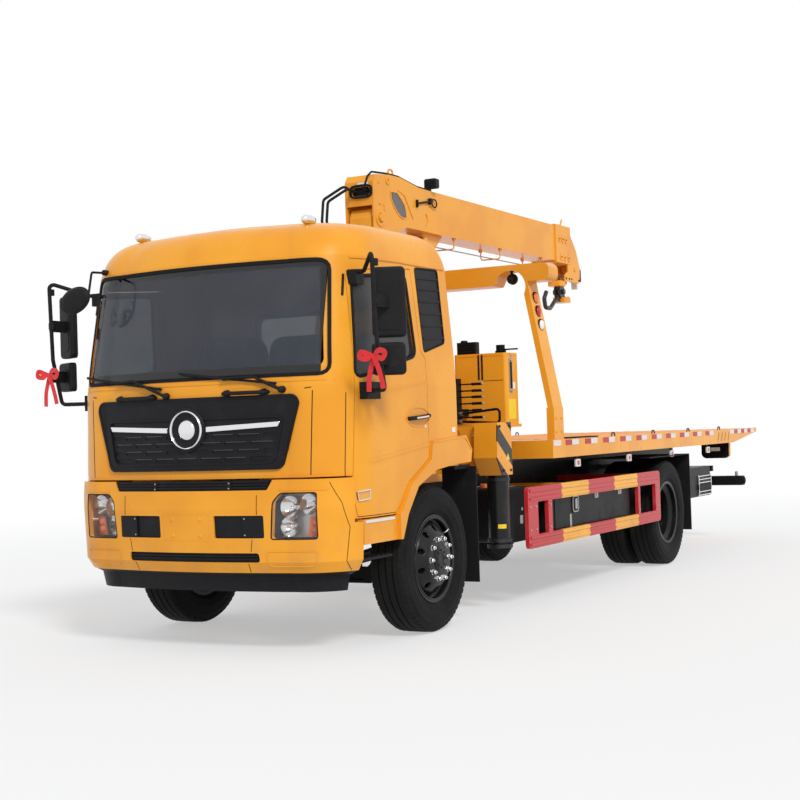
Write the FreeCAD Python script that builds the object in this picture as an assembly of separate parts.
"""Flatbed recovery truck with a telescopic crane behind its cab.

Millimetres. +Z is up, -Y is the truck's front and +X is its left side.
Pieces are laid out from the front axle and the ground, then shifted so that
the origin is on the ground below the middle of the truck's length.
"""
import FreeCAD, Part
import math
import os

# Whole truck
WHEELBASE = 4850.0
FRONT_OVERHANG = 1390.0
REAR_OVERHANG = 3250.0
OVERALL_LENGTH = FRONT_OVERHANG + WHEELBASE + REAR_OVERHANG
FRONT_AXLE_Y = FRONT_OVERHANG - OVERALL_LENGTH / 2.0
REAR_AXLE = WHEELBASE

# Wheels
TYRE_R = 510.0
TYRE_W = 276.0
RIM_R = 286.0
FRONT_WHEEL_X = 984.0
REAR_OUTER_X = 1074.0
DUAL_SPACING = 310.0
REAR_INNER_X = REAR_OUTER_X - DUAL_SPACING
DUAL_MID_X = REAR_OUTER_X - DUAL_SPACING / 2.0
AXLE_Z = TYRE_R

# Ladder frame
FRAME_HALF_W = 430.0
RAIL_H = 260.0
RAIL_FLANGE = 80.0
RAIL_T = 10.0
RAIL_TOP = 985.0
RAIL_BOTTOM = RAIL_TOP - RAIL_H
RAIL_FRONT = -1000.0
RAIL_REAR = 6620.0
CROSSMEMBERS = (-930.0, 1450.0, 2450.0, 3450.0, 4150.0, 5600.0, 6240.0, 6570.0)
CROSSMEMBER_H = 120.0

# Axles, springs and steering
KINGPIN_X = 840.0
KINGPIN_R = 20.0
SPINDLE_R = 38.0
PIN_FIT = 0.05
SEAT_GAP = 0.3
AXLE_BEAM_W = 90.0
AXLE_BEAM_DROP_Z = 330.0
FRONT_SPRING_X = 415.0
REAR_SPRING_X = 505.0
SPRING_W = 80.0
LEAF_T = 12.0
FRONT_LEAVES = 6
REAR_LEAVES = 8
SPRING_HALF_L = 800.0
STEER_ARM = 190.0
STEER_ARM_IN = 60.0
KNUCKLE_LOW = 420.0
REAR_TUBE_R = 70.0
REAR_SPINDLE_R = 55.0
DIFF_R = 205.0

# Cab
CAB_HALF_W = 1130.0
CAB_WALL = 45.0
CAB_BOTTOM = 860.0
CAB_REAR = 402.0
CAB_ROOF = 2830.0
CAB_FLOOR = 1185.0
FOOT_FLOOR = 960.0
MIDDLE_FLOOR = 1100.0
DOOR_GAP = 5.0
DOOR_BOTTOM = 868.0
GLASS_T = 5.0
ARCH_R = 590.0

# Mirrors
MIRROR_X = 1324.0
MIRROR_STALK_Y = -1126.0
MIRROR_W = 218.0
MIRROR_T = 52.0
MIRROR_TOE = 27.0

# Bumper
BUMPER_BOTTOM = 530.0
BUMPER_TOP = 1125.0
BUMPER_T = 40.0

# Crane
SLEW_Y = 1200.0
PEDESTAL_TOP = 1500.0
PIVOT_Y = 1110.0
PIVOT_Z = 3110.0
PIVOT_R = 35.0
BOOM_HALF_W = 125.0
BOOM_BOTTOM = 3080.0
BOOM_TOP = 3440.0
BOOM_ROOT_Y = 1010.0
BOOM_BOX_Y = 1560.0
BOOM_FRONT_Y = 5150.0
BOOM_WALL = 8.0
SECTION_CLEARANCE = 7.0
PAD_FIT = 0.3
HEAD_BOTTOM = 2900.0
BARREL_BASE_Y = 1480.0
BARREL_BASE_Z = 1860.0
ROD_PIN_Y = 1975.0
ROD_PIN_Z = 3005.0
TANK_Z0 = 1430.0
OUTRIGGER_Y = 1085.0
OUTRIGGER_Z0 = 1050.0
OUTRIGGER_H = 230.0
OUTRIGGER_HALF_L = 1000.0
JACK_X = 1100.0
JACK_R = 85.0
JACK_FOOT_Z = 490.0

# Wheel lift
LIFT_PIVOT_Y = 6220.0
LIFT_Z = 675.0
LIFT_BAR_Y = 8010.0
LIFT_FORK = 165.0

# Bed
DECK_HALF_W = 1230.0
DECK_TOP = 1292.0
DECK_RAIL_H = 150.0
DECK_PLATE = 8.0
DECK_FRONT = 1880.0
DECK_REAR = WHEELBASE + REAR_OVERHANG
DECK_CHAMFER_Y = 7120.0
SUBFRAME_TOP = 1100.0
RIB_PITCH = 400.0
GANTRY_Y = 1985.0
GANTRY_D = 200.0
GANTRY_TOP = 2745.0
GANTRY_DEEP = 2580.0


def box(x0, x1, y0, y1, z0, z1):
    """Block between two corners."""
    return Part.makeBox(x1 - x0, y1 - y0, z1 - z0, FreeCAD.Vector(x0, y0, z0))


def cyl(axis, centre, radius, start, end):
    """Cylinder along an axis from start to end; centre gives the other two coordinates."""
    direction = {"x": (1, 0, 0), "y": (0, 1, 0), "z": (0, 0, 1)}[axis]
    a, b = centre
    base = {"x": (start, a, b), "y": (a, start, b), "z": (a, b, start)}[axis]
    return Part.makeCylinder(radius, end - start, FreeCAD.Vector(*base), FreeCAD.Vector(*direction))


def prism_x(points, x0, x1):
    """Outline of (y, z) points extruded from x0 to x1."""
    wire = Part.makePolygon([FreeCAD.Vector(x0, y, z) for y, z in points + points[:1]])
    return Part.Face(wire).extrude(FreeCAD.Vector(x1 - x0, 0, 0))


def prism_y(points, y0, y1):
    """Outline of (x, z) points extruded from y0 to y1."""
    wire = Part.makePolygon([FreeCAD.Vector(x, y0, z) for x, z in points + points[:1]])
    return Part.Face(wire).extrude(FreeCAD.Vector(0, y1 - y0, 0))


def prism_z(points, z0, z1):
    """Outline of (x, y) points extruded from z0 to z1."""
    wire = Part.makePolygon([FreeCAD.Vector(x, y, z0) for x, y in points + points[:1]])
    return Part.Face(wire).extrude(FreeCAD.Vector(0, 0, z1 - z0))


def rounded_prism(points, radius, plane, start, end):
    """Outline with every corner rounded, extruded along the axis normal to its plane.

    Each corner is replaced by an arc tangent to its two sides.
    """
    corners = [FreeCAD.Vector(a, b, 0) for a, b in points]
    count = len(corners)
    edges = []
    arcs = []
    for i, corner in enumerate(corners):
        before = (corners[i - 1] - corner).normalize()
        after = (corners[(i + 1) % count] - corner).normalize()
        half = math.acos(max(-1.0, min(1.0, before.dot(after)))) / 2.0
        reach = radius / math.tan(half)
        middle = (before + after).normalize() * (radius / math.sin(half) - radius)
        arcs.append((corner + before * reach, corner + middle, corner + after * reach))
    for i, (first, middle, last) in enumerate(arcs):
        edges.append(Part.Arc(first, middle, last).toShape())
        edges.append(Part.LineSegment(last, arcs[(i + 1) % count][0]).toShape())
    face = Part.Face(Part.Wire(Part.__sortEdges__(edges)))
    solid = face.extrude(FreeCAD.Vector(0, 0, end - start))
    turn = {
        "xy": FreeCAD.Matrix(1, 0, 0, 0, 0, 1, 0, 0, 0, 0, 1, start, 0, 0, 0, 1),
        "yz": FreeCAD.Matrix(0, 0, 1, start, 1, 0, 0, 0, 0, 1, 0, 0, 0, 0, 0, 1),
    }
    if plane == "xz":
        flipped = FreeCAD.Matrix(1, 0, 0, 0, 0, 0, -1, end, 0, 1, 0, 0, 0, 0, 0, 1)
        return solid.transformGeometry(flipped)
    return solid.transformGeometry(turn[plane])


def mirror_x(shape):
    """Copy of a left-hand piece for the truck's right side."""
    return shape.mirror(FreeCAD.Vector(0, 0, 0), FreeCAD.Vector(1, 0, 0))


def revolve_x(points, x_centre, y, z, outward=1.0):
    """Ring made by turning a closed (x, radius) outline about an axis along X."""
    wire = Part.makePolygon(
        [FreeCAD.Vector(x_centre + outward * a, y, z + r) for a, r in points + points[:1]]
    )
    return Part.Face(wire).revolve(FreeCAD.Vector(x_centre, y, z), FreeCAD.Vector(1, 0, 0), 360)


def tube_path(points, radius, bend):
    """Round bar along straight runs joined by tangent arcs of one radius."""
    nodes = [FreeCAD.Vector(*p) for p in points]
    edges = []
    start = nodes[0]
    for before, corner, after in zip(nodes, nodes[1:], nodes[2:]):
        back = (before - corner).normalize()
        ahead = (after - corner).normalize()
        half = math.acos(max(-1.0, min(1.0, back.dot(ahead)))) / 2.0
        reach = bend / math.tan(half)
        first = corner + back * reach
        last = corner + ahead * reach
        middle = corner + (back + ahead).normalize() * (bend / math.sin(half) - bend)
        edges.append(Part.LineSegment(start, first).toShape())
        edges.append(Part.Arc(first, middle, last).toShape())
        start = last
    edges.append(Part.LineSegment(start, nodes[-1]).toShape())
    spine = Part.Wire(edges)
    profile = Part.Wire(Part.makeCircle(radius, nodes[0], (nodes[1] - nodes[0]).normalize()))
    return spine.makePipeShell([profile], True, False)


def fuse(first, *others):
    """One solid from several that touch."""
    return first.multiFuse(list(others)).removeSplitter()


def plan_wire(z, half_w, front, bulge, corner, rear, rear_corner):
    """Plan outline of the cab at one height: bowed front, rounded corners, straight sides."""
    diag = math.sqrt(0.5)
    v = FreeCAD.Vector
    front_x = half_w - corner
    rear_x = half_w - rear_corner
    front_y = front + corner
    rear_y = rear - rear_corner
    edges = [
        Part.Arc(v(-front_x, front, z), v(0, front - bulge, z), v(front_x, front, z)),
        Part.Arc(v(front_x, front, z), v(front_x + corner * diag, front_y - corner * diag, z),
                 v(half_w, front_y, z)),
        Part.LineSegment(v(half_w, front_y, z), v(half_w, rear_y, z)),
        Part.Arc(v(half_w, rear_y, z),
                 v(rear_x + rear_corner * diag, rear_y + rear_corner * diag, z), v(rear_x, rear, z)),
        Part.LineSegment(v(rear_x, rear, z), v(-rear_x, rear, z)),
        Part.Arc(v(-rear_x, rear, z),
                 v(-rear_x - rear_corner * diag, rear_y + rear_corner * diag, z),
                 v(-half_w, rear_y, z)),
        Part.LineSegment(v(-half_w, rear_y, z), v(-half_w, front_y, z)),
        Part.Arc(v(-half_w, front_y, z),
                 v(-front_x - corner * diag, front_y - corner * diag, z), v(-front_x, front, z)),
    ]
    return Part.Wire([edge.toShape() for edge in edges])


# Cab plan at each height: z, half width, front at the corners, bow, corner, rear, rear corner
CAB_BODY = (
    (CAB_BOTTOM, CAB_HALF_W - 12, -1245.0, 78.0, 400.0, CAB_REAR, 60.0),
    (1160.0, CAB_HALF_W, -1262.0, 80.0, 400.0, CAB_REAR, 60.0),
    (1720.0, CAB_HALF_W, -1246.0, 80.0, 400.0, CAB_REAR, 60.0),
    (1955.0, CAB_HALF_W - 12, -1216.0, 80.0, 400.0, CAB_REAR, 60.0),
    (2560.0, CAB_HALF_W - 50, -1120.0, 80.0, 400.0, 385.0, 70.0),
)
CAB_CROWN = (
    (2560.0, CAB_HALF_W - 50, -1120.0, 80.0, 400.0, 385.0, 70.0),
    (2640.0, CAB_HALF_W - 64, -1085.0, 82.0, 400.0, 370.0, 85.0),
    (2720.0, CAB_HALF_W - 92, -1035.0, 84.0, 410.0, 335.0, 120.0),
    (2790.0, CAB_HALF_W - 170, -930.0, 84.0, 420.0, 245.0, 180.0),
    (CAB_ROOF, CAB_HALF_W - 330, -740.0, 70.0, 400.0, 60.0, 240.0),
)


def loft(rows, offset, ruled):
    """Solid through plan outlines that are all moved out by one offset."""
    wires = []
    for i, (z, half_w, front, bulge, corner, rear, rear_corner) in enumerate(rows):
        wires.append(plan_wire(z, half_w + offset, front - offset, bulge,
                               corner + offset, rear + offset, max(8.0, rear_corner + offset)))
    return Part.makeLoft(wires, True, ruled)


def cab_solid(offset):
    """The cab's closed outer form, moved out by an offset (negative goes inwards)."""
    crown = [list(row) for row in CAB_CROWN]
    crown[-1][0] += offset
    body = loft(CAB_BODY, offset, True)
    return body.fuse(loft(crown, offset, False))


def bumper_solid(offset):
    """The bumper's closed outer form, moved out by an offset."""
    rows = (
        (BUMPER_BOTTOM, 1090.0, -1262.0, 72.0, 380.0, -600.0, 20.0),
        (600.0, 1118.0, -1298.0, 76.0, 385.0, -600.0, 20.0),
        (940.0, 1134.0, -1310.0, 80.0, 400.0, -600.0, 20.0),
        (BUMPER_TOP, 1136.0, -1296.0, 80.0, 400.0, -600.0, 20.0),
    )
    return loft(rows, offset, True)


WINDSCREEN = ((-985.0, 1790.0), (985.0, 1790.0), (940.0, 2530.0), (-940.0, 2530.0))
WINDSCREEN_LIP = 38.0
DOOR_OUTLINE = (
    (-1065.0, 1040.0), (-1015.0, DOOR_BOTTOM), (-575.0, DOOR_BOTTOM), (-520.0, 905.0),
    (-395.0, 1060.0), (-90.0, 1215.0), (-90.0, 1900.0), (-150.0, 1955.0),
    (-205.0, 2520.0), (-950.0, 2462.0), (-975.0, 2400.0),
)
DOOR_WINDOW = ((-1008.0, 1758.0), (-230.0, 1918.0), (-290.0, 2475.0), (-935.0, 2420.0))
SIDE_VENT = ((-104.0, 1945.0), (223.0, 2020.0), (205.0, 2540.0), (-140.0, 2532.0))


def door_prism(clearance):
    """The door's side outline as a prism over the left side, shrunk by a clearance."""
    points = [FreeCAD.Vector(0, y, z) for y, z in DOOR_OUTLINE]
    wire = Part.makePolygon(points + points[:1])
    if clearance:
        wire = wire.makeOffset2D(-clearance, 2)
    return Part.Face(wire).extrude(FreeCAD.Vector(1300, 0, 0)).common(box(700, 1300, -1100, 0, 800, 2600))


FENDER = (
    (-530.0, 690.0), (-1000.0, 690.0), (-1000.0, 850.0), (-575.0, 850.0), (-520.0, 880.0), (-385.0, 1048.0),
    (-84.0, 1202.0), (-60.0, 1330.0), (465.0, 1360.0), (560.0, 1255.0), (535.0, 1165.0), (280.0, 1158.0),
    (-20.0, 1127.0), (-290.0, 1027.0), (-446.0, 852.0),
)


def fender_prism(x0, x1):
    """Side outline of the skirt, arch band and flare between two widths."""
    return prism_x(list(FENDER), x0, x1)


def cab_pieces():
    """Cab shell, its front and rear glass, left door and door glass."""
    outer = cab_solid(0)
    inner = cab_solid(-CAB_WALL)
    tunnel = box(-400, 400, -1400, 600, CAB_BOTTOM - 10, 1390)
    rear_floor = box(-1300, 1300, -560, 600, 500, CAB_FLOOR)
    foot_floor = box(-1300, 1300, -1500, 600, 500, FOOT_FLOOR)
    middle_floor = box(-605, 605, -1500, 600, 500, MIDDLE_FLOOR)
    firewall = box(-1300, 1300, -1500, -985, 500, 1230)
    void = inner.cut(tunnel).cut(rear_floor).cut(foot_floor).cut(firewall).cut(middle_floor)
    shell = outer.cut(void)
    under = box(-355, 355, -1150, 600, CAB_BOTTOM - 50, 1345)
    wheel_cut = cyl("x", (0, AXLE_Z), ARCH_R, 590, 1300)
    rear_cut = box(590, 1300, 0, 700, 500, 1145)
    lower_rear = box(-1300, 1300, 0, 700, 500, 1145)
    lower_middle = box(-560, 560, -1500, 700, 500, MIDDLE_FLOOR - CAB_WALL)
    nose = box(-1300, 1300, -1600, -1050, 500, BUMPER_TOP + 10)
    flare = fender_prism(1085, 1300)
    for side in (1, -1):
        for tool in (wheel_cut, rear_cut, flare):
            shell = shell.cut(tool if side > 0 else mirror_x(tool))
    shell = shell.cut(under).cut(lower_rear).cut(lower_middle).cut(nose)
    door_hole = door_prism(0)
    door_body = outer.cut(cab_solid(-CAB_WALL)).common(door_prism(DOOR_GAP))
    window = rounded_prism(DOOR_WINDOW, 45, "yz", 700, 1300)
    door = door_body.cut(window)
    glass = cab_solid(-16).cut(cab_solid(-16 - GLASS_T)).common(window)
    vent = rounded_prism(SIDE_VENT, 30, "yz", 700, 1300)
    vent_recess = vent.cut(cab_solid(-8))
    for side in (1, -1):
        shell = shell.cut(door_hole if side > 0 else mirror_x(door_hole))
        shell = shell.cut(vent_recess if side > 0 else mirror_x(vent_recess))
    outline = rounded_prism(WINDSCREEN, 70, "xz", -1500, -700)
    low, high = WINDSCREEN[0][1] + WINDSCREEN_LIP, WINDSCREEN[2][1] - WINDSCREEN_LIP
    wide_low, wide_high = WINDSCREEN[1][0] - WINDSCREEN_LIP, WINDSCREEN[2][0] - WINDSCREEN_LIP
    hole = rounded_prism(((-wide_low, low), (wide_low, low), (wide_high, high), (-wide_high, high)),
                         60, "xz", -1500, -600)
    rebate = outline.cut(cab_solid(-12 - SEAT_GAP))
    shell = shell.cut(rebate).cut(hole)
    screen = cab_solid(-4).cut(cab_solid(-12)).common(outline.common(box(-930, 930, -1500, -700, 1796, 2524)))
    rear_window = rounded_prism(((-560, 1850), (560, 1850), (560, 2300), (-560, 2300)), 60, "xz", 250, 500)
    shell = shell.cut(rear_window)
    back = rounded_prism(((-590, 1820), (590, 1820), (590, 2330), (-590, 2330)), 60, "xz", 250, 500)
    pane = cab_solid(-CAB_WALL - SEAT_GAP).cut(cab_solid(-CAB_WALL - SEAT_GAP - GLASS_T)).common(back)
    return shell, Part.makeCompound([single(screen), single(pane)]), door, glass


def single(shape):
    """Largest solid of a shape."""
    return max(shape.Solids, key=lambda solid: solid.Volume)


def shrunk(points, gap):
    """Outline with every corner moved towards its middle by a gap in both directions."""
    middle_a = sum(a for a, b in points) / len(points)
    middle_b = sum(b for a, b in points) / len(points)
    return [(a - math.copysign(gap, a - middle_a), b - math.copysign(gap, b - middle_b)) for a, b in points]


BUMPER_OPENINGS = (
    (((215, 755), (575, 755), (575, 900), (215, 900)), 12),
    (((-575, 755), (-215, 755), (-215, 900), (-575, 900)), 12),
    (((-500, 600), (540, 600), (530, 660), (-500, 660)), 18),
    (((-600, 1060), (600, 1060), (680, 1200), (-680, 1200)), 15),
)
INSERT_OUT = 14.0
INSERT_T = 8.0


def bumper_pieces():
    """Bumper shell with its openings, the two lamp units, the air dam and the openings' inserts."""
    rear_cut = box(-1300, 1300, -1075, 0, 840, 1300).fuse(box(-1300, 1300, -1005, 0, 400, 900))
    shell = bumper_solid(0).cut(bumper_solid(-BUMPER_T)).cut(rear_cut)
    lamp = ((620, 748), (925, 748), (925, 1040), (690, 1040), (640, 985))
    for side in (1, -1):
        outline = [(side * x, z) for x, z in lamp]
        hole = rounded_prism(outline, 18, "xz", -1500, -900)
        shell = shell.cut(hole)
    sheet = bumper_solid(-INSERT_OUT).cut(bumper_solid(-INSERT_OUT - INSERT_T))
    inserts = []
    for points, radius in BUMPER_OPENINGS:
        shell = shell.cut(rounded_prism(points, radius, "xz", -1500, -1200))
        inset = rounded_prism(shrunk(points, SEAT_GAP), radius, "xz", -1500, -1200)
        inserts.append(single(sheet.common(inset)))
    lamps = []
    for side in (1, -1):
        outline = [(side * x, z) for x, z in lamp]
        block = bumper_solid(-1).cut(bumper_solid(-BUMPER_T - 30))
        lens = block.common(rounded_prism(outline, 18, "xz", -1500, -900))
        lamps.append(single(lens))
    top = BUMPER_BOTTOM - SEAT_GAP
    rows = ((400.0, 1010.0, -1180.0, 66.0, 300.0, -600.0, 20.0),
            (500.0, 1030.0, -1200.0, 68.0, 320.0, -600.0, 20.0),
            (top, 1086.0, -1256.0, 72.0, 376.0, -600.0, 20.0))
    inner_rows = ((399.0,) + rows[0][1:], rows[1], (top + 1,) + rows[2][1:])
    dam = loft(rows, 0, True).cut(loft(inner_rows, -30, True)).cut(box(-1300, 1300, -1005, 0, 300, 600))
    return single(shell), lamps, [single(dam)] + inserts


GRILLE_PANEL = ((-695, 1190), (695, 1190), (830, 1668), (-830, 1668))
GRILLE_RECESS = ((-642, 1234), (642, 1234), (702, 1528), (-702, 1528))
GRILLE_ROWS = (1262.0, 1312.0, 1362.0, 1412.0)
SLAT_PITCH = 185.0
SLAT_HALF_L = 85.0
SLAT_HALF_H = 14.0
EMBLEM_Z = 1458.0
EMBLEM_R = 138.0


def grille_panel():
    """Panel on the cab's front with a shallow recess and rows of long six-sided pockets in it."""
    outline = rounded_prism(GRILLE_PANEL, 60, "xz", -1500, -900)
    panel = cab_solid(16).cut(cab_solid(SEAT_GAP)).common(outline)
    recess = rounded_prism(GRILLE_RECESS, 40, "xz", -1500, -900)
    panel = panel.cut(recess.cut(cab_solid(10)))
    pockets = []
    for row, z in enumerate(GRILLE_ROWS):
        for n in range(-4, 5):
            x = (n + 0.5 * (row % 2)) * SLAT_PITCH
            pockets.append(prism_y([(x - SLAT_HALF_L, z), (x - SLAT_HALF_L + 14, z + SLAT_HALF_H),
                                    (x + SLAT_HALF_L - 14, z + SLAT_HALF_H), (x + SLAT_HALF_L, z),
                                    (x + SLAT_HALF_L - 14, z - SLAT_HALF_H),
                                    (x - SLAT_HALF_L + 14, z - SLAT_HALF_H)], -1500, -900))
    inside = rounded_prism(shrunk(GRILLE_RECESS, 16), 30, "xz", -1500, -900)
    inside = inside.cut(cyl("y", (0, EMBLEM_Z), EMBLEM_R, -1600, -800)).cut(cab_solid(5))
    return single(panel.cut(Part.makeCompound(pockets).common(inside)))


def leaf_pack(x, y, seat_z, leaves, rise, hang_z):
    """Stacked leaves, longest on top, each a shallow arc, with hangers up to the rail."""
    parts = []
    for n in range(leaves):
        half = SPRING_HALF_L * (1.0 - 0.11 * (leaves - 1 - n))
        top = seat_z + LEAF_T * (n + 1)
        lift = rise * (half / SPRING_HALF_L) ** 2
        low = [(-half, top - LEAF_T + lift), (0, top - LEAF_T), (half, top - LEAF_T + lift)]
        high = [(-half, top + lift), (0, top), (half, top + lift)]
        v = FreeCAD.Vector
        lower = Part.Arc(*[v(x - SPRING_W / 2, y + a, b) for a, b in low]).toShape()
        upper = Part.Arc(*[v(x - SPRING_W / 2, y + a, b) for a, b in high]).toShape()
        ends = [Part.LineSegment(v(x - SPRING_W / 2, y + s * half, top - LEAF_T + lift),
                                 v(x - SPRING_W / 2, y + s * half, top + lift)).toShape() for s in (-1, 1)]
        face = Part.Face(Part.Wire(Part.__sortEdges__([lower, upper] + ends)))
        parts.append(face.extrude(v(SPRING_W, 0, 0)))
    eye_z = seat_z + LEAF_T * leaves + rise
    for s in (-1, 1):
        parts.append(cyl("x", (y + s * SPRING_HALF_L, eye_z), 26, x - SPRING_W / 2, x + SPRING_W / 2))
        parts.append(box(x - 30, x + 30, y + s * SPRING_HALF_L - 35, y + s * SPRING_HALF_L + 35,
                         eye_z, hang_z))
        if x > FRAME_HALF_W + 30:
            parts.append(box(FRAME_HALF_W + SEAT_GAP, x, y + s * SPRING_HALF_L - 35,
                             y + s * SPRING_HALF_L + 35, hang_z - 70, hang_z))
    clamp_top = seat_z + LEAF_T * leaves + 14
    parts.append(box(x - SPRING_W / 2, x + SPRING_W / 2, y - 60, y + 60, seat_z, clamp_top))
    return fuse(*parts)


def front_axle():
    """Dropped beam with an eye at each end for the kingpins."""
    drop = AXLE_BEAM_DROP_Z
    outline = [(-KINGPIN_X, 465), (-700, 455), (-600, drop), (600, drop), (700, 455), (KINGPIN_X, 465),
               (KINGPIN_X, 560), (690, 552), (570, drop + 110), (-570, drop + 110), (-690, 552),
               (-KINGPIN_X, 560)]
    beam = prism_y(outline, -AXLE_BEAM_W / 2, AXLE_BEAM_W / 2)
    for face_y in (-AXLE_BEAM_W / 2 - 1, AXLE_BEAM_W / 2 - 29):
        beam = beam.cut(box(-540, 540, face_y, face_y + 30, drop + 22, drop + 88))
    for side in (1, -1):
        eye = cyl("z", (side * KINGPIN_X, 0), 52, 458, 566)
        pad = box(side * FRONT_SPRING_X - 50, side * FRONT_SPRING_X + 50, -80, 80, drop + 100, 455)
        beam = fuse(beam, eye, pad)
    for side in (1, -1):
        beam = beam.cut(cyl("z", (side * KINGPIN_X, 0), KINGPIN_R + PIN_FIT, 400, 600))
    return beam


def knuckle():
    """Left steering knuckle: kingpin, two lugs, web, stub axle and steering arm."""
    x = KINGPIN_X
    return fuse(
        cyl("z", (x, 0), KINGPIN_R, KNUCKLE_LOW, 604),
        box(x - 45, x + 75, -45, 45, 571, 604),
        box(x - 45, x + 75, -45, 45, KNUCKLE_LOW, 453),
        box(x + 57, x + 90, -55, 55, KNUCKLE_LOW, 604),
        cyl("x", (0, AXLE_Z), 62, x + 80, x + 100),
        cyl("x", (0, AXLE_Z), SPINDLE_R, x + 90, x + 253),
        prism_z([(x - 45, -30), (x + 40, -30), (x - STEER_ARM_IN + 35, STEER_ARM + 25),
                 (x - STEER_ARM_IN - 35, STEER_ARM + 25)], KNUCKLE_LOW, 446),
    )


def tyre(x, y, outward):
    """Tyre with three drain grooves, turned about the wheel's axis."""
    half = TYRE_W / 2
    bead = RIM_R + 4 + SEAT_GAP
    flange = RIM_R + 20 + 2 * SEAT_GAP
    outline = [(-99.6, bead), (-103.8, flange), (-126, 338), (-half, 392), (-half + 4, 450), (-half + 18, 490),
               (-100, TYRE_R - 4), (-58, TYRE_R), (-58, TYRE_R - 12), (-48, TYRE_R - 12), (-48, TYRE_R),
               (-5, TYRE_R), (-5, TYRE_R - 12), (5, TYRE_R - 12), (5, TYRE_R),
               (48, TYRE_R), (48, TYRE_R - 12), (58, TYRE_R - 12), (58, TYRE_R),
               (100, TYRE_R - 4), (half - 18, 490), (half - 4, 450), (half, 392), (126, 338),
               (103.8, flange), (99.6, bead)]
    return revolve_x(outline, x, y, AXLE_Z, outward)


def rim(x, y, outward):
    """Wheel rim: flanges and drop centre."""
    outline = [(-112, RIM_R + 20), (-104, RIM_R + 20), (-100, RIM_R + 4), (-60, RIM_R + 4), (-20, 252),
               (40, 252), (70, RIM_R + 4), (100, RIM_R + 4), (104, RIM_R + 20), (112, RIM_R + 20),
               (108, RIM_R - 8), (66, RIM_R - 8), (36, 240), (-16, 240), (-56, RIM_R - 8),
               (-108, RIM_R - 8)]
    return revolve_x(outline, x, y, AXLE_Z, outward)


def front_wheel():
    """Left front wheel: rim, domed disc with hand holes, hub and brake drum."""
    x = FRONT_WHEEL_X
    disc = revolve_x([(30, 244), (44, 244), (96, 196), (108, 175), (108, 60), (94, 60), (94, 172),
                      (84, 188)], x, 0, AXLE_Z)
    hub = revolve_x([(-14, SPINDLE_R + PIN_FIT), (110, SPINDLE_R + PIN_FIT), (110, 0), (132, 0),
                     (130, 60), (120, 74), (98, 92), (60, 120), (-14, 120)], x, 0, AXLE_Z)
    drum = revolve_x([(-14, 100), (40, 100), (40, 214), (-90, 214), (-90, 200), (24, 200), (24, 116),
                      (-14, 116)], x, 0, AXLE_Z)
    wheel = fuse(rim(x, 0, 1.0), disc, hub, drum)
    for n in range(10):
        angle = 2 * math.pi * (n + 0.5) / 10
        hole = cyl("x", (212 * math.cos(angle), AXLE_Z + 212 * math.sin(angle)), 20, x + 30, x + 130)
        wheel = wheel.cut(hole)
    return wheel


def rear_wheels():
    """Left twin wheels: two rims, the two discs back to back, hub and drum."""
    y = REAR_AXLE
    mid = DUAL_MID_X
    discs = revolve_x([(-14, 110), (-14, 180), (-92, 282), (-76, 282), (-6, 186), (6, 186), (76, 282),
                       (92, 282), (14, 180), (14, 110)], mid, y, AXLE_Z)
    hub = revolve_x([(-120, REAR_SPINDLE_R + PIN_FIT), (66, REAR_SPINDLE_R + PIN_FIT), (66, 0), (110, 0),
                     (108, 70), (92, 84), (20, 92), (20, 140), (-20, 140), (-120, 120)], mid, y, AXLE_Z)
    drum = revolve_x([(-120, 100), (-100, 100), (-100, 206), (-250, 206), (-250, 192), (-114, 192),
                      (-114, 118), (-120, 118)], mid, y, AXLE_Z)
    wheel = fuse(rim(REAR_OUTER_X, y, 1.0), rim(REAR_INNER_X, y, -1.0), discs, hub, drum)
    for n in range(10):
        angle = 2 * math.pi * (n + 0.5) / 10
        hole = cyl("x", (y + 212 * math.cos(angle), AXLE_Z + 212 * math.sin(angle)), 20, mid - 90, mid + 90)
        wheel = wheel.cut(hole)
    return wheel


def rear_axle():
    """Banjo housing, tubes, stub ends and spring pads."""
    y = REAR_AXLE
    bowl = revolve_x([(-150, 0), (-150, 110), (-95, 180), (-40, DIFF_R), (40, DIFF_R), (95, 180),
                      (150, 110), (150, 0)], 0, y, AXLE_Z)
    parts = [bowl, cyl("x", (y, AXLE_Z), REAR_TUBE_R, -700, 700),
             cyl("x", (y, AXLE_Z), REAR_SPINDLE_R, -(DUAL_MID_X + 60), DUAL_MID_X + 60),
             cyl("y", (0, AXLE_Z + 20), 75, y - 330, y - 100)]
    for side in (1, -1):
        x = side * REAR_SPRING_X
        parts.append(box(x - 50, x + 50, y - 80, y + 80, AXLE_Z + 30, AXLE_Z + REAR_TUBE_R + 12))
    return fuse(*parts)


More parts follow.
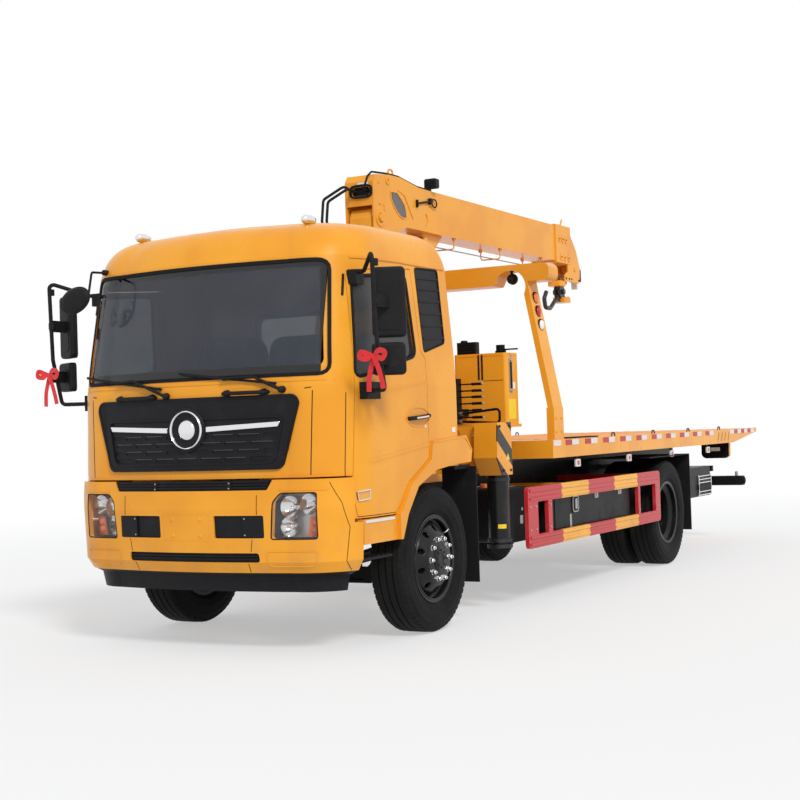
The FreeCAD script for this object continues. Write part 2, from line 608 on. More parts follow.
def frame_rails():
    """Two channel rails joined by crossmembers."""
    parts = []
    for side in (1, -1):
        outer = side * FRAME_HALF_W
        inner = side * (FRAME_HALF_W - RAIL_FLANGE)
        web = side * (FRAME_HALF_W - RAIL_T)
        outline = [(outer, RAIL_BOTTOM), (inner, RAIL_BOTTOM), (inner, RAIL_BOTTOM + RAIL_T),
                   (web, RAIL_BOTTOM + RAIL_T), (web, RAIL_TOP - RAIL_T), (inner, RAIL_TOP - RAIL_T),
                   (inner, RAIL_TOP), (outer, RAIL_TOP)]
        parts.append(prism_y(outline, RAIL_FRONT, RAIL_REAR))
    web_x = FRAME_HALF_W - RAIL_T / 2
    for y in CROSSMEMBERS:
        top = RAIL_TOP - RAIL_T / 2
        member = box(-web_x, web_x, y - 40, y + 40, top - CROSSMEMBER_H, top)
        member = member.cut(box(-web_x, web_x, y - 32, y + 41, top - CROSSMEMBER_H - 1, top - 8))
        parts.append(member)
    for side in (1, -1):
        x0, x1 = sorted((side * (FRAME_HALF_W - 70), side * FRAME_HALF_W))
        horn = box(x0, x1, -1500, RAIL_FRONT + 60, 905, RAIL_TOP).common(bumper_solid(-BUMPER_T - SEAT_GAP))
        parts.append(horn)
        parts.append(box(x0, x1, -950, -850, RAIL_TOP - 1, MIDDLE_FLOOR - CAB_WALL - SEAT_GAP))
        parts.append(box(x0, x1, 280, 380, RAIL_TOP - 1, 1145 - SEAT_GAP))
        parts.append(box(side * 88 - 8, side * 88 + 8, 6150, 6330, 600, RAIL_TOP - CROSSMEMBER_H))
    parts.append(cyl("x", (LIFT_PIVOT_Y, LIFT_Z), 28, -96, 96))
    return fuse(*parts)


def boom_section(level):
    """Outer half width, bottom and top of a boom section, counted from the outermost."""
    step = BOOM_WALL + SECTION_CLEARANCE
    return BOOM_HALF_W - level * step, BOOM_BOTTOM + level * step, BOOM_TOP - level * step


def box_tube(level, y0, y1):
    """One hollow boom section with slider pads at its rear and inside its front."""
    half, low, high = boom_section(level)
    outer = box(-half, half, y0, y1, low, high)
    bore = box(-half + BOOM_WALL, half - BOOM_WALL, y0 - 1, y1 + 1, low + BOOM_WALL, high - BOOM_WALL)
    return outer, bore


def section(level, y0, y1, with_bore=True):
    """Boom section as a tube with its pads."""
    outer, bore = box_tube(level, y0, y1)
    half, low, high = boom_section(level)
    reach = SECTION_CLEARANCE - PAD_FIT
    tube = outer
    if level > 0:
        pad = box(-half - reach, half + reach, y0 + 20, y0 + 100, low - reach, high + reach)
        tube = tube.fuse(pad)
    if with_bore:
        inner_half, inner_low, inner_high = boom_section(level + 1)
        front_bore = box(-inner_half - PAD_FIT, inner_half + PAD_FIT, y1 - 120, y1 + 1,
                         inner_low - PAD_FIT, inner_high + PAD_FIT)
        rear_bore = bore.common(box(-500, 500, y0 - 1, y1 - 120, 0, 5000))
        tube = tube.cut(rear_bore).cut(front_bore)
    return tube


ROOT_TOP = ((1010.0, 3400.0), (1050.0, 3455.0), (1280.0, 3480.0), (1470.0, 3482.0), (1620.0, 3462.0),
            (1800.0, BOOM_TOP))
ROOT_SKIN = 10.0


def boom_base():
    """Outer boom section with its root plates, collar, pivot pin and cylinder ears."""
    tube = section(0, BOOM_BOX_Y, BOOM_FRONT_Y)
    root = [(BOOM_ROOT_Y, 3020)] + list(ROOT_TOP) + [(1900, BOOM_TOP), (1900, BOOM_BOTTOM),
                                                     (1560, BOOM_BOTTOM), (1300, 2990)]
    plate = prism_x(root, BOOM_HALF_W - BOOM_WALL, BOOM_HALF_W + 5)
    collar = box(-BOOM_HALF_W - 14, BOOM_HALF_W + 14, 4760, BOOM_FRONT_Y, BOOM_BOTTOM - 14, BOOM_TOP + 14)
    collar = collar.cut(box(-BOOM_HALF_W + 2, BOOM_HALF_W - 2, 4700, BOOM_FRONT_Y + 10,
                            BOOM_BOTTOM + 2, BOOM_TOP - 2))
    half = BOOM_HALF_W
    cap = box(-half, half, BOOM_BOX_Y, BOOM_BOX_Y + 12, BOOM_BOTTOM, BOOM_TOP)
    ear = prism_x([(1930, BOOM_BOTTOM + 2), (2010, 2950), (2150, 2950), (2300, BOOM_BOTTOM + 2)], 62, 78)
    boss = cyl("x", (ROD_PIN_Y, ROD_PIN_Z), 40, 70, 92)
    under = [(y, z - ROOT_SKIN) for y, z in reversed(ROOT_TOP)]
    top = prism_x(list(ROOT_TOP) + under, -half, half)
    front = box(-half, half, BOOM_ROOT_Y, BOOM_ROOT_Y + ROOT_SKIN, 3205, 3400)
    front = front.cut(rounded_prism(((-60, 3285), (100, 3285), (100, 3355), (-60, 3355)), 30, "xz",
                                    BOOM_ROOT_Y - 5, BOOM_ROOT_Y + 20))
    eye = tube_path([(0, 1500, 3465), (0, 1505, 3572), (0, 1575, 3572), (0, 1590, 3458)], 8, 25)
    return fuse(tube, plate, mirror_x(plate), collar, cap, ear, mirror_x(ear), boss, mirror_x(boss), top,
                front, eye,
                cyl("x", (PIVOT_Y, PIVOT_Z), PIVOT_R, -half - 18, half + 18))


def boom_hoses():
    """Hoses looped out of the boom's root, and the cable over its top to the work lamp."""
    cable = tube_path([(70, 1035, 3320), (70, 962, 3325), (105, 968, 3430), (105, 1036, 3474),
                       (105, 1280, 3492), (105, 1470, 3494), (105, 1625, 3474), (105, 1800, 3453),
                       (105, 2010, 3450)], 8, 24)
    clips = [box(90, 120, 1370, 1392, 3481.5, 3494), box(90, 120, 1890, 1912, BOOM_TOP + SEAT_GAP, 3453)]
    lamp = rounded_prism(((75, 3462), (190, 3462), (190, 3545), (75, 3545)), 16, "xz", 2000, 2060)
    foot = box(90, 120, 1995, 2045, BOOM_TOP + SEAT_GAP, 3470)
    hoses = [tube_path([(-20, 1035, 3315), (-30, 880, 3330), (-160, 790, 3230), (-165, 770, 3060),
                        (-165, 860, 2985), (-165, 1082, 3045)], 11, 45),
             tube_path([(-47, 1035, 3320), (-56, 865, 3350), (-186, 765, 3245), (-191, 742, 3060),
                        (-191, 845, 2955), (-191, 1082, 3045)], 11, 45)]
    clamp = box(-206, -BOOM_HALF_W - 5 - SEAT_GAP, 1050, 1090, 3025, 3062)
    return Part.makeCompound([fuse(cable, lamp, foot, *clips), fuse(clamp, *hoses)])


def boom_head(y0, y1):
    """Innermost section with its head plates, sheave block and rope guard."""
    half, low, high = boom_section(3)
    tube = box(-half, half, y0, y1, low, high)
    tube = tube.cut(box(-half + 6, half - 6, y0 - 1, y1 - 20, low + 6, high - 6))
    reach = SECTION_CLEARANCE - PAD_FIT
    pad = box(-half - reach, half + reach, y0 + 20, y0 + 100, low - reach, high + reach)
    pad = pad.cut(box(-half + 6, half - 6, y0 - 1, y1 - 20, low + 6, high - 6))
    head = [(y1 - 5, 3420), (y1 + 80, 3400), (y1 + 240, 3240), (y1 + 335, 3060), (y1 + 310, HEAD_BOTTOM),
            (y1 - 90, HEAD_BOTTOM), (y1 - 90, 2960), (y1 - 5, 3010)]
    plate = prism_x(head, half - 14, half)
    sheave_y, sheave_z = y1 + 190, 3040
    sheave = revolve_x([(-28, 24), (-28, 100), (-18, 108), (-8, 94), (8, 94), (18, 108), (28, 100),
                        (28, 24)], 0, sheave_y, sheave_z)
    pin = cyl("x", (sheave_y, sheave_z), 24.5, -half - 8, half + 8)
    top_pin = cyl("x", (y1 + 70, 3330), 16, -half, half)
    guide = tube_path([(0, y1 + 10, 3380), (0, y1 + 14, 3500), (0, y1 + 60, 3560)], 9, 15)
    bridge = box(-half, half, y1 - 4, y1 + 20, low, high)
    return fuse(tube, pad, bridge, plate, mirror_x(plate), pin, top_pin, sheave, guide)


def hook_block(y1):
    """Hook block drawn up below the boom head: two plates, sheaves between them and the hook."""
    parts = []
    for y, low, high in ((y1 - 130, 2845, HEAD_BOTTOM - SEAT_GAP), (y1 - 10, 2680, 2735)):
        parts.append(rounded_prism(((-75, y - 80), (75, y - 80), (75, y + 80), (-75, y + 80)), 28,
                                   "xy", low, high))
    middle = (y1 - 70, 2790)
    for x in (-34, 12):
        parts.append(cyl("x", middle, 72, x, x + 22))
    parts.append(cyl("x", middle, 26, -62, 62))
    parts.append(tube_path([(0, y1 - 40, 2705), (0, y1 - 200, 2690), (0, y1 - 330, 2606), (0, y1 - 455, 2606),
                            (0, y1 - 480, 2700), (0, y1 - 420, 2770)], 22, 38))
    return fuse(*parts)


def crane_column():
    """Slewing column: turntable, tapered box and the boom's pivot eye."""
    y = SLEW_Y
    ring = cyl("z", (0, y), 300, PEDESTAL_TOP + SEAT_GAP, PEDESTAL_TOP + 70)
    v = FreeCAD.Vector
    lower = Part.makePolygon([v(-230, y - 240, 1560), v(230, y - 240, 1560), v(230, y + 240, 1560),
                              v(-230, y + 240, 1560), v(-230, y - 240, 1560)])
    upper = Part.makePolygon([v(-100, y - 200, 2860), v(100, y - 200, 2860), v(100, y + 90, 2860),
                              v(-100, y + 90, 2860), v(-100, y - 200, 2860)])
    tower = Part.makeLoft([lower, upper], True, True)
    head = prism_x([(y - 200, 2850), (PIVOT_Y - 85, PIVOT_Z), (PIVOT_Y - 55, PIVOT_Z + 70),
                    (PIVOT_Y + 55, PIVOT_Z + 70), (PIVOT_Y + 95, PIVOT_Z - 10), (y + 90, 2850)], -100, 100)
    lugs = []
    for side in (1, -1):
        lug = prism_x([(y + 100, BARREL_BASE_Z - 140), (y + 100, BARREL_BASE_Z + 80),
                       (BARREL_BASE_Y - 30, BARREL_BASE_Z + 45), (BARREL_BASE_Y + 30, BARREL_BASE_Z + 40),
                       (BARREL_BASE_Y + 50, BARREL_BASE_Z), (BARREL_BASE_Y, BARREL_BASE_Z - 60)],
                      side * 70 - 10, side * 70 + 10)
        lugs.append(lug)
    pin = cyl("x", (BARREL_BASE_Y, BARREL_BASE_Z), 25, -80, 80)
    column = fuse(ring, tower, head, lugs[0], lugs[1], pin)
    return column.cut(cyl("x", (PIVOT_Y, PIVOT_Z), PIVOT_R + PIN_FIT, -200, 200))


def along(start, end, distance):
    """Point at a distance from start towards end, in the (y, z) plane."""
    span = math.hypot(end[0] - start[0], end[1] - start[1])
    return (start[0] + (end[0] - start[0]) * distance / span,
            start[1] + (end[1] - start[1]) * distance / span)


BARREL_BASE = (BARREL_BASE_Y, BARREL_BASE_Z)
ROD_PIN = (ROD_PIN_Y, ROD_PIN_Z)


def rod_cyl(radius, start, end):
    """Cylinder along the lifting cylinder's own line between two distances from its base pin."""
    a = along(BARREL_BASE, ROD_PIN, start)
    b = along(BARREL_BASE, ROD_PIN, end)
    base = FreeCAD.Vector(0, a[0], a[1])
    return Part.makeCylinder(radius, end - start, base, FreeCAD.Vector(0, b[0], b[1]) - base)


def luff_cylinder():
    """Lifting cylinder: barrel on the column, rod up to the boom's ears."""
    length = math.hypot(ROD_PIN_Y - BARREL_BASE_Y, ROD_PIN_Z - BARREL_BASE_Z)
    barrel = rod_cyl(70, 60, length - 130)
    barrel = barrel.fuse(cyl("x", BARREL_BASE, 50, -54, 54))
    barrel = barrel.fuse(rod_cyl(45, 30, 70))
    barrel = barrel.cut(rod_cyl(40 + PIN_FIT, 120, length)).cut(cyl("x", BARREL_BASE, 25 + PIN_FIT, -60, 60))
    rod = rod_cyl(40, 130, length - 40)
    eye = cyl("x", ROD_PIN, 46, -50, 50)
    return barrel, rod.fuse(eye)


def crane_base():
    """Base on the frame: housing, pedestal and the outrigger tube across the truck."""
    y = SLEW_Y
    z0 = RAIL_TOP + SEAT_GAP
    block = box(-FRAME_HALF_W, FRAME_HALF_W, 720, 1640, z0, 1180)
    pedestal = cyl("z", (0, y), 270, 1170, PEDESTAL_TOP)
    oy, h = OUTRIGGER_Y, OUTRIGGER_H
    tube = box(-OUTRIGGER_HALF_L, OUTRIGGER_HALF_L, oy - 120, oy + 120, OUTRIGGER_Z0 + 10,
               OUTRIGGER_Z0 + 10 + h)
    gusset = prism_y([(-640, 1240), (640, 1240), (300, 1420), (-300, 1420)], oy - 60, oy + 60)
    shelf = box(520, 1010, 1500, 1770, TANK_Z0 - 24, TANK_Z0 - SEAT_GAP)
    ribs = [prism_y([(300, 1150), (430, 1150), (1000, TANK_Z0 - 20), (300, TANK_Z0 - 20)], a, a + 10)
            for a in (1530, 1625)]
    base = fuse(block, pedestal, tube, gusset, shelf, *ribs)
    bore = box(-OUTRIGGER_HALF_L - 1, OUTRIGGER_HALF_L + 1, oy - 105, oy + 105, OUTRIGGER_Z0 + 25,
               OUTRIGGER_Z0 + h - 5)
    wall = box(-10, 10, oy - 110, oy + 110, OUTRIGGER_Z0 + 20, OUTRIGGER_Z0 + h)
    return base.cut(bore.cut(wall))


def outrigger():
    """Left outrigger: sliding beam with its jack housing, and the jack leg."""
    oy = OUTRIGGER_Y
    low = OUTRIGGER_Z0 + 25 + SEAT_GAP
    high = OUTRIGGER_Z0 + OUTRIGGER_H - 5 - SEAT_GAP
    beam = box(20, JACK_X - 20, oy - 99, oy + 99, low, high)
    housing = prism_x([(oy - 215, 1180), (oy - 120, 1045), (oy + 60, 1045), (oy + 55, 1445), (oy - 190, 1445)],
                      OUTRIGGER_HALF_L + 5, JACK_X + 98)
    gusset = prism_y([(1003, 1134), (1100, 1134), (1190, 1340), (1173, 1416), (827, 1423)], oy - 145, oy - 130)
    beam = fuse(beam, housing, gusset, cyl("z", (JACK_X, oy), JACK_R, JACK_FOOT_Z + 45, 1405))
    bore = cyl("z", (JACK_X, oy), 60 + PIN_FIT, 400, 1385)
    beam = beam.cut(bore)
    leg = fuse(cyl("z", (JACK_X, oy), 60, JACK_FOOT_Z + 10, 1370),
               cyl("z", (JACK_X, oy), JACK_R + 12, JACK_FOOT_Z, JACK_FOOT_Z + 30))
    return beam, leg


def bed_subframe():
    """Fixed subframe that the bed slides on: two box beams and cross beams."""
    z0 = RAIL_TOP + SEAT_GAP
    parts = []
    for side in (1, -1):
        x = side * (FRAME_HALF_W - 40)
        parts.append(prism_x([(1960, z0), (6900, z0), (7400, z0 + 50), (7400, SUBFRAME_TOP),
                              (1960, SUBFRAME_TOP)], x - 40, x + 40))
    for y in (2000, 3300, 4600, 5900, 7330):
        parts.append(box(-360, 360, y - 40, y + 40, SUBFRAME_TOP - 60, SUBFRAME_TOP - 5))
    parts.append(cyl("y", (0, SUBFRAME_TOP - 30), 45, 2600, 5880))
    return fuse(*parts)


def bed_deck():
    """Sliding bed: deck plate, side rails, ribs, runners and sloped tail."""
    top = DECK_TOP
    low = top - DECK_RAIL_H
    w = DECK_HALF_W
    parts = [box(-w + 20, w - 20, DECK_FRONT, DECK_REAR - 20, top - DECK_PLATE - 2, top - 3)]
    for side in (1, -1):
        rail = prism_x([(DECK_FRONT, low), (DECK_CHAMFER_Y, low), (DECK_REAR, top - 45), (DECK_REAR, top),
                        (DECK_FRONT, top)], side * w, side * (w - 55))
        for n in range(4):
            y = 6500 + 130 * n
            slot = prism_x([(y, low + 25), (y + 28, low + 25), (y + 78, top - 30), (y + 50, top - 30)],
                           side * (w + 5), side * (w - 8))
            rail = rail.cut(slot)
        parts.append(rail)
        x = side * 390
        parts.append(box(x - 35, x + 35, DECK_FRONT + 80, 7000, SUBFRAME_TOP + SEAT_GAP, top - DECK_PLATE))
    ribs = int((DECK_CHAMFER_Y - DECK_FRONT) // RIB_PITCH)
    for n in range(ribs + 1):
        y = DECK_FRONT + 60 + n * RIB_PITCH
        parts.append(box(-w + 40, w - 40, y - 30, y + 30, top - 110, top - DECK_PLATE))
    parts.append(box(-w + 10, w - 10, DECK_FRONT, DECK_FRONT + 60, low, top - 3))
    parts.append(prism_x([(DECK_REAR - 60, top - 52), (DECK_REAR, top - 45), (DECK_REAR, top - 3),
                          (DECK_REAR - 60, top - 3)], -w + 10, w - 10))
    unit = rounded_prism(((860, 966), (1180, 966), (1180, 1190), (860, 1190)), 60, "xz", y - 30, y + 25)
    parts += [unit, mirror_x(unit)]
    return fuse(*parts)


def gantry():
    """Rack over the bed's front: leaning posts and a deep beam with an arc cut at each end."""
    y0, y1 = GANTRY_Y, GANTRY_Y + GANTRY_D
    beam = rounded_prism(((-1200, 2600), (1200, 2600), (1200, GANTRY_TOP), (-1200, GANTRY_TOP)), 55, "xz", y0, y1)
    deep = prism_y([(-700, GANTRY_DEEP), (700, GANTRY_DEEP), (760, 2660), (-760, 2660)], y0, y1)
    post = prism_y([(950, 2630), (1000, 2630), (1200, 1560), (1200, DECK_TOP - 60), (1150, DECK_TOP - 60),
                    (1150, 1560)], y0, y1)
    foot = box(1140, 1205, y0, y1, DECK_TOP + SEAT_GAP, DECK_TOP + 260)
    post = post.cut(box(1100, 1300, y0, y1, 1000, DECK_TOP + SEAT_GAP))
    rack = fuse(beam, deep, post, mirror_x(post), foot, mirror_x(foot))
    for side in (1, -1):
        rack = rack.cut(cyl("y", (side * 850, 2560), 140, y0 - 1, y1 + 1))
    return rack


def wheel_lift():
    """Underlift: hinged arm, telescoping stinger and the swivelling cross bar."""
    z, wall, half, tall = LIFT_Z, 10.0, 75.0, 65.0
    arm = fuse(box(-half, half, LIFT_PIVOT_Y + 20, 7600, z - tall, z + tall),
               cyl("x", (LIFT_PIVOT_Y, z), 55, -half, half))
    arm = arm.cut(box(-half + wall, half - wall, LIFT_PIVOT_Y + 120, 7601, z - tall + wall, z + tall - wall))
    arm = arm.cut(cyl("x", (LIFT_PIVOT_Y, z), 28 + PIN_FIT, -100, 100))
    reach = half - wall - PAD_FIT
    high = tall - wall - PAD_FIT
    root = LIFT_BAR_Y - LIFT_FORK
    stinger = box(-reach, reach, LIFT_PIVOT_Y + 140, root - 20, z - high, z + high)
    ear = box(-60, 60, root - 25, LIFT_BAR_Y + 45, z + 60, z + 85)
    low_ear = box(-60, 60, root - 25, LIFT_BAR_Y + 45, z - 85, z - 60)
    plate = box(-60, 60, root - 25, root, z - 85, z + 85)
    stinger = fuse(stinger, ear, low_ear, plate, cyl("z", (0, LIFT_BAR_Y), 22, z - 90, z + 90))
    bar = box(-1080, 1080, LIFT_BAR_Y - 50, LIFT_BAR_Y + 50, z - 55, z + 55)
    bar = bar.cut(cyl("z", (0, LIFT_BAR_Y), 22 + PIN_FIT, z - 90, z + 90))
    return (("lift_arm", arm), ("lift_stinger", stinger), ("lift_crossbar", bar))


def steering_wheel():
    """Rim, three spokes, hub and column down to the dashboard."""
    tilt = FreeCAD.Rotation(FreeCAD.Vector(1, 0, 0), 28)
    v = FreeCAD.Vector
    wheel = Part.makeTorus(215, 14)
    for degrees in (0, 180, 270):
        spoke = box(30, 208, -12, 12, -10, 10)
        spoke.rotate(v(0, 0, 0), v(0, 0, 1), degrees)
        wheel = wheel.fuse(spoke)
    wheel = wheel.fuse(Part.makeCylinder(45, 30, v(0, 0, -20))).fuse(Part.makeCylinder(22, 300, v(0, 0, -300)))
    wheel.Placement = FreeCAD.Placement(v(560, -600, 1690), tilt)
    return wheel


def side_guard():
    """Left guard: two grooved rails, end plates and posts, with arms back to the frame."""
    x0, x1 = 1217.0, 1249.0
    y0, y1, low, high = 1300.0, 4455.0, 458.0, 936.0
    rail_low, rail_high = 560.0, 815.0
    frame = rounded_prism(((y0, low), (y1, low), (y1, high), (y0, high)), 40, "yz", x0, x1)
    for a, b in ((1494.0, 1700.0), (1780.0, 3830.0), (3885.0, 4320.0)):
        frame = frame.cut(box(x0 - 1, x1 + 1, a, b, rail_low, rail_high))
    for z in ((low + rail_low) / 2, (rail_high + high) / 2):
        for lift in (-20, 20):
            frame = frame.cut(box(x1 - 3, x1 + 1, y0 + 50, y1 - 50, z + lift - 4, z + lift + 4))
    parts = [frame]
    for y in (2200.0, 3900.0):
        parts.append(box(FRAME_HALF_W + SEAT_GAP, x0 + 2, y - 30, y + 30, 876, 930))
    return fuse(*parts)


LEVER_Y = 1300.0
LEVER_HEIGHTS = (1491.0, 1547.0, 1600.0, 1652.0, 1701.0, 1753.0)
TANK_TOP = 2000.0
TANK_FRONT = 1520.0


def control_levers():
    """Left valve block with its six pull rods and a hose loop, and the oil tank's filter, cap and cock."""
    y = LEVER_Y
    valve = [box(560, 690, y - 38, y + 38, 1440, 1800),
             box(600, 660, y + 37, TANK_FRONT - SEAT_GAP, 1500, 1560)]
    for z in LEVER_HEIGHTS:
        valve.append(cyl("x", (y, z), 6, 689, 850))
        valve.append(cyl("x", (y, z), 11, 800, 890))
    valve.append(tube_path([(685, y, 1462), (1060, 1240, 1440), (1062, 1240, 1552), (685, y, 1520)], 10, 32))
    low = TANK_TOP + SEAT_GAP
    filter_box = rounded_prism(((548, 1560), (719, 1560), (719, 1645), (548, 1645)), 15, "xy", low, 2100)
    cap = fuse(cyl("z", (904, 1640), 44, low, 2020), cyl("z", (904, 1640), 36, 2015, 2068))
    cock = fuse(cyl("z", (965, 1580), 14, low, 2032), box(960, 1080, 1570, 1590, 2020, 2032))
    return Part.makeCompound([fuse(*valve), filter_box, cap, cock])


def mirror_head(y, half_w, low, high):
    """One mirror's housing, rounded at its rim and toed in about its middle."""
    x = MIRROR_X
    outline = ((x - half_w, low), (x + half_w, low), (x + half_w, high), (x - half_w, high))
    head = rounded_prism(outline, 32, "xz", y - MIRROR_T / 2, y + MIRROR_T / 2)
    rim = [edge for edge in head.Edges if edge.BoundBox.YMax < y - MIRROR_T / 2 + 1]
    head = head.makeFillet(MIRROR_T * 0.4, rim)
    head.rotate(FreeCAD.Vector(x, y, 0), FreeCAD.Vector(0, 0, 1), MIRROR_TOE)
    return head


def mirror_set():
    """Left door's mirrors: feet, stalk and the tall and small heads held behind it."""
    x, y = MIRROR_X, MIRROR_STALK_Y
    skin = cab_solid(SEAT_GAP)
    arm = tube_path([(1000, -920, 2435), (1135, -930, 2445), (x - 5, y - 25, 2535), (x, y, 1990), (x, y + 85, 1672),
                     (1080, -900, 1672)], 14, 32)
    top_foot = box(980, 1095, -960, -865, 2365, 2455)
    low_foot = box(1060, 1165, -985, -815, 1620, 1730)
    parts = [arm.cut(skin), top_foot.cut(skin), low_foot.cut(skin)]
    for low, high, back in ((2005, 2455, 170), (1765, 1972, 150)):
        middle = (low + high) / 2
        parts.append(mirror_head(y + back, MIRROR_W / 2, low, high))
        parts.append(box(x - 17, x + 17, y - 12, y + back, middle - 40, middle + 40))
    return fuse(*parts)


def kerb_mirror():
    """Wide-angle mirror over the right front corner: foot, bent stem and an oval dish."""
    v = FreeCAD.Vector
    skin = cab_solid(SEAT_GAP)
    stem = tube_path([(-850, -1050, 2577), (-800, -1300, 2560), (-800, -1338, 2405)], 8, 25)
    foot = cyl("y", (-855, 2577), 20, -1108, -1050)
    rim = Part.makePolygon([v(0, -26, 0), v(50, -22, 0), v(76, -11, 0), v(90, 8, 0), v(84, 22, 0),
                            v(0, 22, 0), v(0, -26, 0)])
    dish = Part.Face(rim).revolve(v(0, 0, 0), v(0, 1, 0), 360)
    widen = FreeCAD.Matrix()
    widen.scale(1.55, 1.0, 1.0)
    dish = dish.transformGeometry(widen)
    dish.rotate(v(0, 0, 0), v(0, 1, 0), -19)
    dish.translate(v(-925, -1345, 2370))
    return fuse(dish, stem.cut(skin), foot.cut(skin))


def export(name, shape):
    """Check a piece, move it to the truck's frame and write it."""
    shape = shape.copy()
    shape.translate(FreeCAD.Vector(0, FRONT_AXLE_Y, 0))
    solids = [s for s in shape.Solids if s.Volume > 1.0]
    if not solids:
        raise ValueError(name + " has no solid")
    out = solids[0] if len(solids) == 1 else Part.makeCompound(solids)
    out.exportStep(os.path.join("parts", name + ".step"))
    bb = out.BoundBox
    print("%-22s solids %d valid %s  x %.0f %.0f y %.0f %.0f z %.0f %.0f" % (
        name, len(solids), out.isValid(), bb.XMin, bb.XMax, bb.YMin, bb.YMax, bb.ZMin, bb.ZMax))


def both(shape):
    """A left-hand piece and its mirrored copy as one node."""
    return Part.makeCompound([shape, mirror_x(shape)])


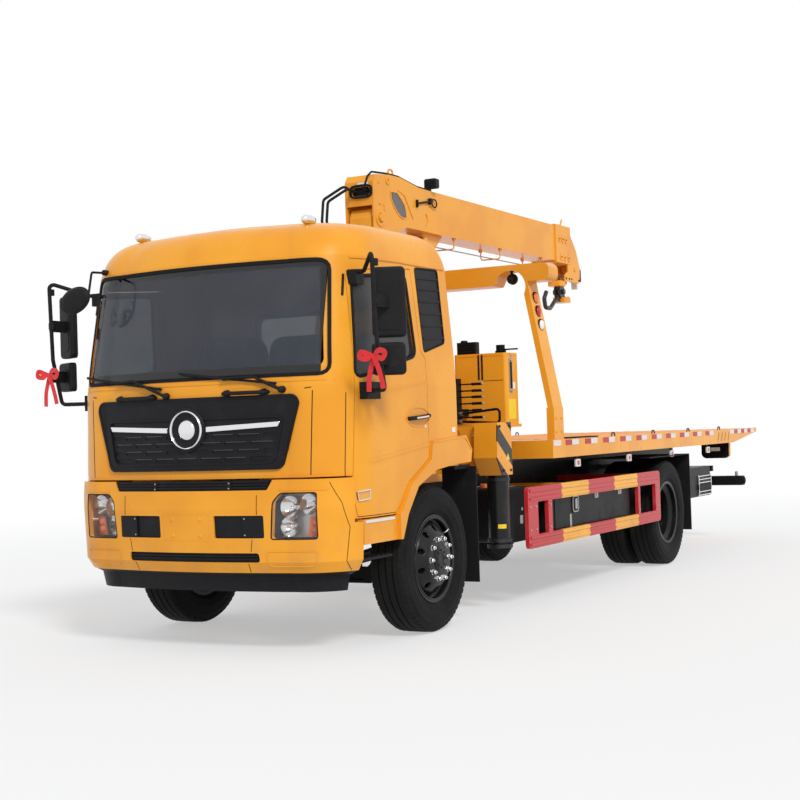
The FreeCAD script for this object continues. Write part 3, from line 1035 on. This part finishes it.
def main():
    os.makedirs("parts", exist_ok=True)
    export("frame_rails", frame_rails())
    export("front_axle", front_axle())
    front_leaf = leaf_pack(FRONT_SPRING_X, 0, 455 + SEAT_GAP, FRONT_LEAVES, 90, RAIL_BOTTOM - SEAT_GAP)
    rear_seat = AXLE_Z + REAR_TUBE_R + 12 + SEAT_GAP
    export("rear_axle", rear_axle())
    rear_leaf = leaf_pack(REAR_SPRING_X, REAR_AXLE, rear_seat, REAR_LEAVES, 40, 860)
    export("leaf_springs", Part.makeCompound([front_leaf, mirror_x(front_leaf), rear_leaf, mirror_x(rear_leaf)]))
    engine = box(-300, 300, -620, 500, 600, 1300)
    web = FRAME_HALF_W - RAIL_T - SEAT_GAP
    for y in (-420, 400):
        engine = engine.fuse(box(-web, web, y - 45, y + 45, 800, 860))
    export("engine_block", engine.removeSplitter())
    gearbox = Part.makeLoft([Part.makePolygon([FreeCAD.Vector(a * w, y, 780 + b * w) for a, b in
                             ((-1, -1), (1, -1), (1, 1), (-1, 1), (-1, -1))])
                             for y, w in ((500 + SEAT_GAP, 180), (1180, 95))], True, True)
    run = REAR_AXLE - 330 - 1170
    shaft = Part.makeCylinder(50, math.hypot(run, 240) - 4, FreeCAD.Vector(0, 1170, 770),
                              FreeCAD.Vector(0, run, -240))
    export("drive_line", fuse(gearbox, shaft))

    left_knuckle = knuckle()
    export("left_knuckle", left_knuckle)
    export("right_knuckle", mirror_x(left_knuckle))
    rod_x = KINGPIN_X - STEER_ARM_IN
    stud_top = KNUCKLE_LOW - SEAT_GAP
    tie = fuse(cyl("x", (STEER_ARM, 398), 16, -rod_x, rod_x), cyl("z", (rod_x, STEER_ARM), 24, 382, stud_top),
               cyl("z", (-rod_x, STEER_ARM), 24, 382, stud_top))
    export("tie_rod", tie)
    wheel = front_wheel()
    export("front_left_wheel", wheel)
    export("front_right_wheel", mirror_x(wheel))
    export("front_left_tyre", tyre(FRONT_WHEEL_X, 0, 1))
    export("front_right_tyre", mirror_x(tyre(FRONT_WHEEL_X, 0, 1)))
    wheel = rear_wheels()
    export("rear_left_wheels", wheel)
    export("rear_right_wheels", mirror_x(wheel))
    pair = Part.makeCompound([tyre(REAR_OUTER_X, REAR_AXLE, 1), tyre(REAR_INNER_X, REAR_AXLE, 1)])
    export("rear_left_tyres", pair)
    export("rear_right_tyres", mirror_x(pair))

    shell, screen, door, glass = cab_pieces()
    export("cab_shell", single(shell))
    export("cab_glass", screen)
    export("left_door", single(door))
    export("left_door_glass", single(glass))
    export("right_door", mirror_x(single(door)))
    export("right_door_glass", mirror_x(single(glass)))
    mirrors = mirror_set()
    export("left_mirror", mirrors)
    export("right_mirror", mirror_x(mirrors))
    bumper, lamps, inserts = bumper_pieces()
    export("grille_panel", Part.makeCompound([grille_panel()] + inserts))
    export("kerb_mirror", kerb_mirror())
    export("front_bumper", bumper)
    export("headlights", Part.makeCompound(lamps))

    dash = prism_x([(-1180, 1240), (-930, 1240), (-760, 1480), (-760, 1640), (-860, 1720), (-1150, 1720)],
                   -900, 900)
    dash = dash.common(cab_solid(-CAB_WALL - SEAT_GAP)).cut(box(-401, 401, -1400, 0, 1200, 1390 + SEAT_GAP))
    export("dashboard", fuse(single(dash), steering_wheel()))
    base = CAB_FLOOR + SEAT_GAP
    seat = fuse(box(430, 930, -420, 60, base, 1560), box(430, 930, 20, 180, 1500, 2150))
    bench = fuse(box(-930, 330, -420, 60, 1395, 1560), box(-930, -420, -420, 60, base, 1400),
                 box(-930, 330, 20, 180, 1500, 2150))
    export("seats", Part.makeCompound([seat, bench]))

    step = fuse(box(985, 1100, -1000, -612, 585, 600), box(985, 1012, -1000, -900, 590, CAB_BOTTOM - SEAT_GAP))
    export("cab_steps", both(step))
    fender = fender_prism(1085, 1145).cut(box(1000, 1300, -1100, -560, 600, 900)).fuse(
        fender_prism(1060, 1118).common(box(1000, 1300, -1100, -530, 600, CAB_BOTTOM - SEAT_GAP)))
    fender = fender.fuse(box(1013, 1062, -990, -930, 700, CAB_BOTTOM - SEAT_GAP)).removeSplitter()
    export("cab_fenders", both(fender))
    front_flap = fuse(box(860, 1140, 618, 628, 280, 1130),
                      prism_x([(380, 1144), (640, 1144), (640, 1114), (380, 1114)], 860, 1084),
                      box(FRAME_HALF_W + SEAT_GAP, 900, 620, 650, 930, 975))
    rear_guard = fuse(box(610, 1225, 4250, 5480, 1060, 1068), box(610, 1225, 5480, 5490, 290, 1068),
                      box(FRAME_HALF_W + SEAT_GAP, 700, 5440, 5482, 930, 975), box(560, 620, 4300, 4360, 1040, 1062),
                      box(FRAME_HALF_W + SEAT_GAP, 580, 4300, 4360, 925, 1062))
    export("mudguards", Part.makeCompound([front_flap, mirror_x(front_flap), rear_guard, mirror_x(rear_guard)]))
    export("crane_base", crane_base())
    tank = rounded_prism(((540, TANK_FRONT), (1000, TANK_FRONT), (1000, 1760), (540, 1760)), 25, "xy",
                         TANK_Z0, TANK_TOP)
    export("oil_tank", tank)
    export("control_levers", control_levers())
    export("bed_subframe", bed_subframe())
    export("side_guards", both(side_guard()))
    tool = rounded_prism(((1900, 480), (3750, 480), (3750, 870), (1900, 870)), 30, "yz", 560, 1190)
    export("tool_box", fuse(tool, box(FRAME_HALF_W + SEAT_GAP, 570, 2000, 2080, 740, 860),
                            box(FRAME_HALF_W + SEAT_GAP, 570, 3560, 3640, 740, 860)))
    fuel = rounded_prism(((1900, 480), (3200, 480), (3200, 870), (1900, 870)), 80, "yz", -1190, -560)
    export("fuel_tank", fuse(fuel, box(-570, -FRAME_HALF_W - SEAT_GAP, 2000, 2080, 740, 800),
                             box(-570, -FRAME_HALF_W - SEAT_GAP, 3020, 3100, 740, 800)))
    rail_end = RAIL_REAR + SEAT_GAP
    unit = fuse(box(900, 1120, 5780, 6540, 590, 900), box(900, 1000, 6530, rail_end + 10, 840, 900))
    bar = fuse(box(-1120, 1120, rail_end, rail_end + 50, 840, 900), unit, mirror_x(unit))
    export("rear_lamp_bar", bar)

    export("crane_column", crane_column())
    export("boom_base", boom_base())
    export("boom_hoses", boom_hoses())
    export("boom_second", section(1, BOOM_BOX_Y + 60, BOOM_FRONT_Y + 20))
    export("boom_third", section(2, BOOM_BOX_Y + 100, BOOM_FRONT_Y + 40))
    export("boom_head", boom_head(BOOM_BOX_Y + 140, BOOM_FRONT_Y + 60))
    export("hook_block", hook_block(BOOM_FRONT_Y + 60))
    barrel, rod = luff_cylinder()
    export("luff_barrel", barrel)
    export("luff_rod", rod)
    beam, leg = outrigger()
    export("left_outrigger", beam)
    export("right_outrigger", mirror_x(beam))
    export("left_jack_leg", leg)
    export("right_jack_leg", mirror_x(leg))
    export("bed_deck", bed_deck())
    export("gantry", gantry())
    for name, piece in wheel_lift():
        export(name, piece)


main()
